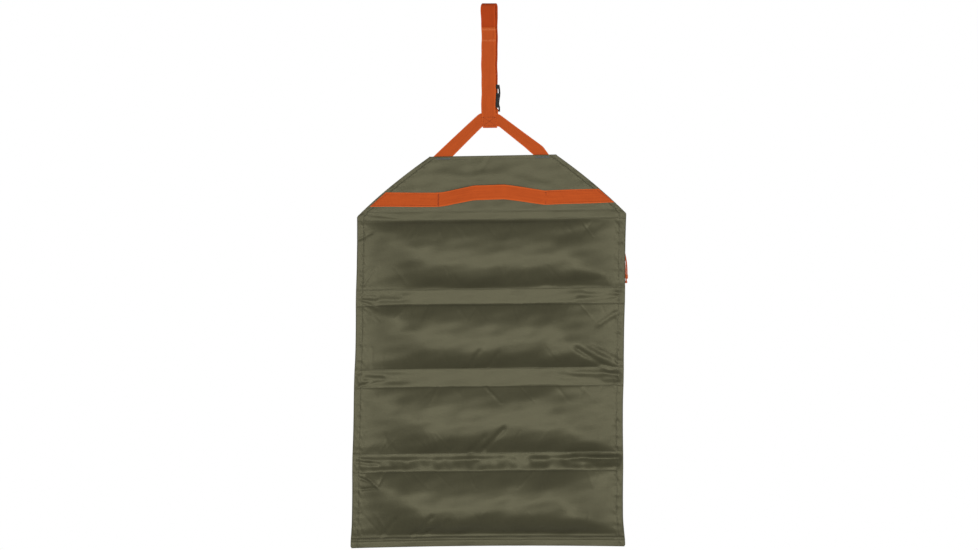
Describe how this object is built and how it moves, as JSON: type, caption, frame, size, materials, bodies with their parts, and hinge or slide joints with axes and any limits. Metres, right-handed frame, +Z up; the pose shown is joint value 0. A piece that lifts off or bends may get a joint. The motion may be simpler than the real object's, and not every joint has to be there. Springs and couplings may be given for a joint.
{
  "type": "camp kitchen utensil roll",
  "caption": "Roll-up fabric utensil organiser with padded rows, folding spines, a slanted flap, a webbing carry handle, a zip pocket, open slots and a buckled hanging strap.",
  "frame": {"origin": "under the top of the hanging loop, where a hook carries it", "axes": "+Z up as it hangs open, -Y out of the plain outer face, +Y out of the pocket side, +X to the right seen from the front"},
  "size_m": [0.4734, 0.0352, 0.9481],
  "materials": {
    "shell_cloth": "olive woven polyester",
    "lining_cloth": "plain woven lining",
    "pocket_cloth": "woven polyester",
    "padding": "soft fibre padding",
    "orange_webbing": "flat woven webbing",
    "binding_tape": "folded binding tape",
    "buckle_plastic": "moulded, satin",
    "zip_tape": "woven zip tape",
    "zip_chain": "nylon coil",
    "slider_metal": "black enamel",
    "pull_cord": "braided cord"
  },
  "bodies": {
    "hanging_strap": {"strap_front_run": "orange_webbing", "strap_loop": "orange_webbing", "bridle_webbing": "orange_webbing", "buckle_anchor": "orange_webbing", "buckle_socket": "buckle_plastic"},
    "buckle_clip": {"buckle_clip": "buckle_plastic"},
    "prong_left": {"prong_left": "buckle_plastic"},
    "prong_right": {"prong_right": "buckle_plastic"},
    "flap": {"flap_outer_shell": "shell_cloth", "flap_lining": "lining_cloth", "webbing_strip_left": "orange_webbing", "webbing_strip_right": "orange_webbing", "carry_handle": "orange_webbing", "bridle_foot_left": "orange_webbing", "bridle_foot_right": "orange_webbing"},
    "row_1": {"row_1_outer_shell": "shell_cloth", "row_1_padding": "padding", "row_1_lining": "lining_cloth", "row_1_zip_pocket": "pocket_cloth", "zip_tape_upper": "zip_tape", "zip_tape_lower": "zip_tape", "zip_chain": "zip_chain"},
    "zip_slider": {"zip_slider": "slider_metal"},
    "zip_pull": {"zip_pull_cord": "pull_cord", "zip_pull_knot": "pull_cord"},
    "spine_12": {"spine_12_outer": "shell_cloth", "spine_12_lining": "lining_cloth"},
    "row_2": {"row_2_outer_shell": "shell_cloth", "row_2_padding": "padding", "row_2_lining": "lining_cloth", "row_2_pocket": "pocket_cloth", "row_2_pocket_binding": "binding_tape"},
    "spine_23": {"spine_23_outer": "shell_cloth", "spine_23_lining": "lining_cloth"},
    "row_3": {"row_3_outer_shell": "shell_cloth", "row_3_padding": "padding", "row_3_lining": "lining_cloth", "row_3_pocket": "pocket_cloth", "row_3_pocket_binding": "binding_tape"},
    "spine_34": {"spine_34_outer": "shell_cloth", "spine_34_lining": "lining_cloth"},
    "row_4": {"row_4_outer_shell": "shell_cloth", "row_4_padding": "padding", "row_4_lining": "lining_cloth", "row_4_pocket": "pocket_cloth", "row_4_pocket_binding": "binding_tape"}
  },
  "joints": [
    {"name": "bridle_fold", "type": "hinge", "parent": "hanging_strap", "child": "flap", "pos_m": [0, -0.00745, -0.2653], "axis": [1, 0, 0], "range_deg": [-60, 10]},
    {"name": "flap_fold", "type": "hinge", "parent": "flap", "child": "row_1", "pos_m": [0, -0.00775, -0.3737], "axis": [1, 0, 0], "range_deg": [-10, 80]},
    {"name": "fold_12", "type": "hinge", "parent": "row_1", "child": "spine_12", "pos_m": [0, -0.00775, -0.5007], "axis": [1, 0, 0], "range_deg": [-10, 45]},
    {"name": "fold_12_lower", "type": "hinge", "parent": "spine_12", "child": "row_2", "pos_m": [0, -0.00775, -0.5227], "axis": [1, 0, 0], "range_deg": [-10, 45]},
    {"name": "fold_23", "type": "hinge", "parent": "row_2", "child": "spine_23", "pos_m": [0, -0.00775, -0.6397], "axis": [1, 0, 0], "range_deg": [-10, 45]},
    {"name": "fold_23_lower", "type": "hinge", "parent": "spine_23", "child": "row_3", "pos_m": [0, -0.00775, -0.6657], "axis": [1, 0, 0], "range_deg": [-10, 45]},
    {"name": "fold_34", "type": "hinge", "parent": "row_3", "child": "spine_34", "pos_m": [0, -0.00775, -0.7877], "axis": [1, 0, 0], "range_deg": [-10, 80]},
    {"name": "fold_34_lower", "type": "hinge", "parent": "spine_34", "child": "row_4", "pos_m": [0, -0.00775, -0.8137], "axis": [1, 0, 0], "range_deg": [-10, 80]},
    {"name": "buckle_release", "type": "slide", "parent": "hanging_strap", "child": "buckle_clip", "axis": [0, 0, 1], "range_m": [0, 0.025]},
    {"name": "prong_squeeze", "type": "hinge", "parent": "buckle_clip", "child": "prong_right", "pos_m": [0.01435, 0.00125, -0.1613], "axis": [0, 1, 0], "range_deg": [0, 8], "stiffness_Nm_per_rad": 0.5},
    {"name": "prong_squeeze_left", "type": "hinge", "parent": "buckle_clip", "child": "prong_left", "pos_m": [-0.00735, 0.00125, -0.1613], "axis": [0, -1, 0], "range_deg": [0, 8], "stiffness_Nm_per_rad": 0.5},
    {"name": "zip_travel", "type": "slide", "parent": "row_1", "child": "zip_slider", "axis": [1, 0, 0], "range_m": [-0.43, 0]},
    {"name": "zip_pull_swing", "type": "hinge", "parent": "zip_slider", "child": "zip_pull", "pos_m": [0.2333, 0.00365, -0.431], "axis": [0, 1, 0], "range_deg": [-80, 80]}
  ],
  "couplings": [
    {"joint": "fold_12_lower", "follows": "fold_12", "ratio": 1},
    {"joint": "fold_23_lower", "follows": "fold_23", "ratio": 1},
    {"joint": "fold_34_lower", "follows": "fold_34", "ratio": 1},
    {"joint": "prong_squeeze_left", "follows": "prong_squeeze", "ratio": 1}
  ]
}
